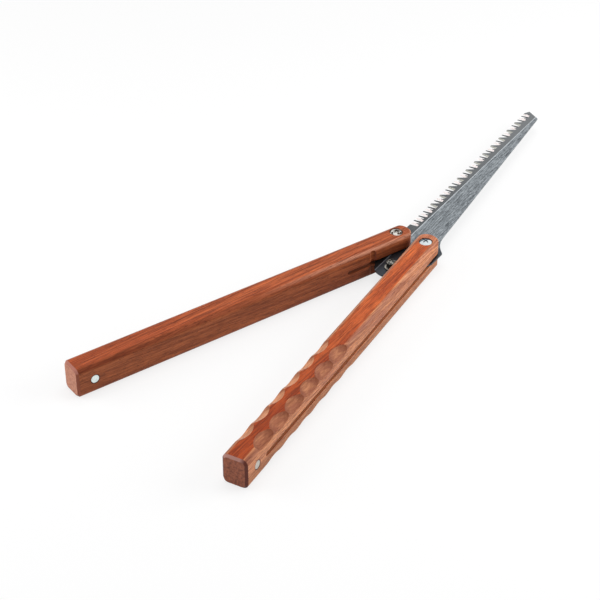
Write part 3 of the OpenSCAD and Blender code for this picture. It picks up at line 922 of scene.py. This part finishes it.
def point_corners(bm, x, kind, side):
    """Both corners of a tooth's blunt point on one face, the one to the heel first."""
    near, far = bevel_widths(kind, side > 0)
    half = RAKER_POINT_HALF if kind == "raker" else POINT_HALF
    filed_down = near == BEVEL_W
    high = point_y(x) + POINT_RAISE + tooth_share(x) * (TIP_POINT_RAISE - POINT_RAISE)
    level = high - (POINT_DROP if filed_down else 0)
    start = x - half + (POINT_HEEL_CUT * half if filed_down else 0)
    start += half if kind == "raker" and side > 0 else 0
    end = x + half - (POINT_TIP_CUT * half if far else 0)
    z = side * POINT_T / 2 + TOOTH_SET[kind]
    return bm.verts.new((start, level, z)), bm.verts.new((end, level, z))


def add_tooth(bm, tooth, above, below, i):
    """A blunt point and five faces on the feet i and i + 1; returns the kind and the faces."""
    x, _, kind = tooth
    last = x == LAST_TOOTH
    if last:
        x -= TIP_POINT_SHIFT
    upper, upper_end = point_corners(bm, x, kind, 1)
    lower, lower_end = point_corners(bm, x, kind, -1)
    face_above = bm.faces.new((above[i], upper, upper_end, above[i + 1]))
    face_below = bm.faces.new((below[i], below[i + 1], lower_end, lower))
    heel_side = bm.faces.new((below[i], lower, upper, above[i]))
    point = bm.faces.new((lower, lower_end, upper_end, upper))
    tip_side = bm.faces.new((above[i + 1], upper_end, lower_end, below[i + 1]))
    return "last" if last else kind, (face_above, face_below, heel_side, point, tip_side)


def grind_strip(bm):
    """Cuts the plate along both edges of the slope and sets Z for every corner up to there."""
    for level in GRIND_LEVELS:
        geometry = bm.verts[:] + bm.edges[:] + bm.faces[:]
        plane = {"plane_co": (0, level, 0), "plane_no": (0, 1, 0)}
        bmesh.ops.bisect_plane(bm, geom=geometry, dist=CUT_REACH, **plane)
    for v in bm.verts:
        if v.co.y < GRIND_LEVELS[1] + 2 * CUT_REACH:
            v.co.z = surface_z(math.copysign(1, v.co.z), v.co.y)


def paint(faces, slot):
    """Gives faces one of the materials of the blade."""
    for face in faces:
        face.material_index = BLADE_SLOTS.index(slot)


def paint_blade(bm, tooth_faces, filed):
    """Plate, slope and strip by height, then the flats and bevels of the teeth."""
    for face in bm.faces:
        y = face.calc_center_median().y
        zone = sum(y >= level for level in GRIND_LEVELS)
        paint([face], BLADE_SLOTS[zone])
    for kind, faces in tooth_faces:
        flat, bevel = TOOTH_SLOTS[kind]
        paint(faces[:2], flat)
        paint(faces[2:], bevel)
    paint(filed, "tooth_bevel_highlight")


def make_blade():
    """The blade as one closed mesh, with each tooth set and bevelled as it is filed."""
    bm = bmesh.new()
    teeth = all_teeth()
    holes = blade_holes()
    top, first = blade_cap(bm, teeth, holes, 1)
    bottom, _ = blade_cap(bm, teeth, holes, -1)
    filed = add_walls(bm, top, bottom, first)
    tooth_faces = [add_tooth(bm, tooth, top[0], bottom[0], i) for tooth, i in zip(teeth, first)]
    grind_strip(bm)
    paint_blade(bm, tooth_faces, filed)
    bmesh.ops.recalc_face_normals(bm, faces=bm.faces)
    place = Matrix.Translation((MIDDLE.x, MIDDLE.y, BLADE_Z)) @ Matrix.Scale(MM, 4)
    bmesh.ops.transform(bm, matrix=place, verts=bm.verts)
    mesh = bpy.data.meshes.new("saw_blade")
    bm.to_mesh(mesh)
    bm.free()
    for slot in BLADE_SLOTS:
        mesh.materials.append(MATERIALS[slot])
    blade = bpy.data.objects.new("saw_blade", mesh)
    bpy.context.scene.collection.objects.link(blade)
    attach(blade, "blade")
    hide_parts("blade")


def floor_material():
    """White that keeps the shadow and shows almost plain white to the camera and to reflections."""
    s = Shader("floor")
    s.set(Base_Color=FLOOR_COLOUR, Roughness=0.9, Specular_IOR_Level=0.1)
    glow = s.add("ShaderNodeEmission", {"Color": WHITE, "Strength": 1.0}).outputs[0]
    away = s.add("ShaderNodeVectorMath", {0: s.coords()["Object"]}, operation="LENGTH")
    white = s.ramp(away.outputs["Value"], *FLOOR_FADE, start=FLOOR_GLOW)
    share = s.times(s.seen(), white)
    shown = s.add("ShaderNodeMixShader", {0: share, 1: s.surface.outputs[0], 2: glow})
    output = next(n for n in s.tree.nodes if n.type == "OUTPUT_MATERIAL")
    s.put(output.inputs["Surface"], shown.outputs[0])
    return s.material


def make_floor():
    """A wide white floor just below the saw."""
    half = FLOOR_HALF
    mesh = bpy.data.meshes.new("floor")
    corners = [(-half, -half, 0), (half, -half, 0), (half, half, 0), (-half, half, 0)]
    mesh.from_pydata(corners, [], [(0, 1, 2, 3)])
    mesh.materials.append(floor_material())
    floor = bpy.data.objects.new("floor", mesh)
    floor.location.z = -FLOOR_DROP
    bpy.context.scene.collection.objects.link(floor)


def make_lamp(name, place, target, size, power):
    """A soft box that points at the target and isn't seen in reflections."""
    light = bpy.data.lights.new(name, "AREA")
    light.shape = "RECTANGLE"
    light.size, light.size_y = size
    light.energy = power
    lamp = bpy.data.objects.new(name, light)
    lamp.visible_glossy = False
    lamp.location = place
    lamp.rotation_euler = (target - place).to_track_quat("-Z", "Y").to_euler()
    bpy.context.scene.collection.objects.link(lamp)


def make_world():
    """A pale world, which shows plain white and lights the saw with a part of that."""
    world = bpy.data.worlds.new("world")
    world.use_nodes = True
    nodes = Nodes(world.node_tree)
    sky = world.node_tree.nodes["Background"]
    nodes.put(sky.inputs["Color"], WHITE)
    nodes.put(sky.inputs["Strength"], nodes.ramp(nodes.seen(), 0.0, 1.0, start=SKY_LIGHT))
    bpy.context.scene.world = world


def make_light(back, right):
    """Two soft boxes, one on each side of the camera's view, one overhead and a pale world."""
    flat_back = Vector((back.x, back.y, 0)).normalized()
    target = MIDDLE - Vector((TARGET_BACK, 0, 0))
    for name, ((to_right, to_camera, up), size, power) in LAMPS.items():
        place = target + to_right * right + to_camera * flat_back + Vector((0, 0, up))
        make_lamp(name, place, target, size, power)
    make_world()


bpy.context.scene.view_settings.view_transform = "Standard"
camera_back, camera_right = make_camera()
dress_nodes()
make_blade()
make_floor()
make_light(camera_back, camera_right)
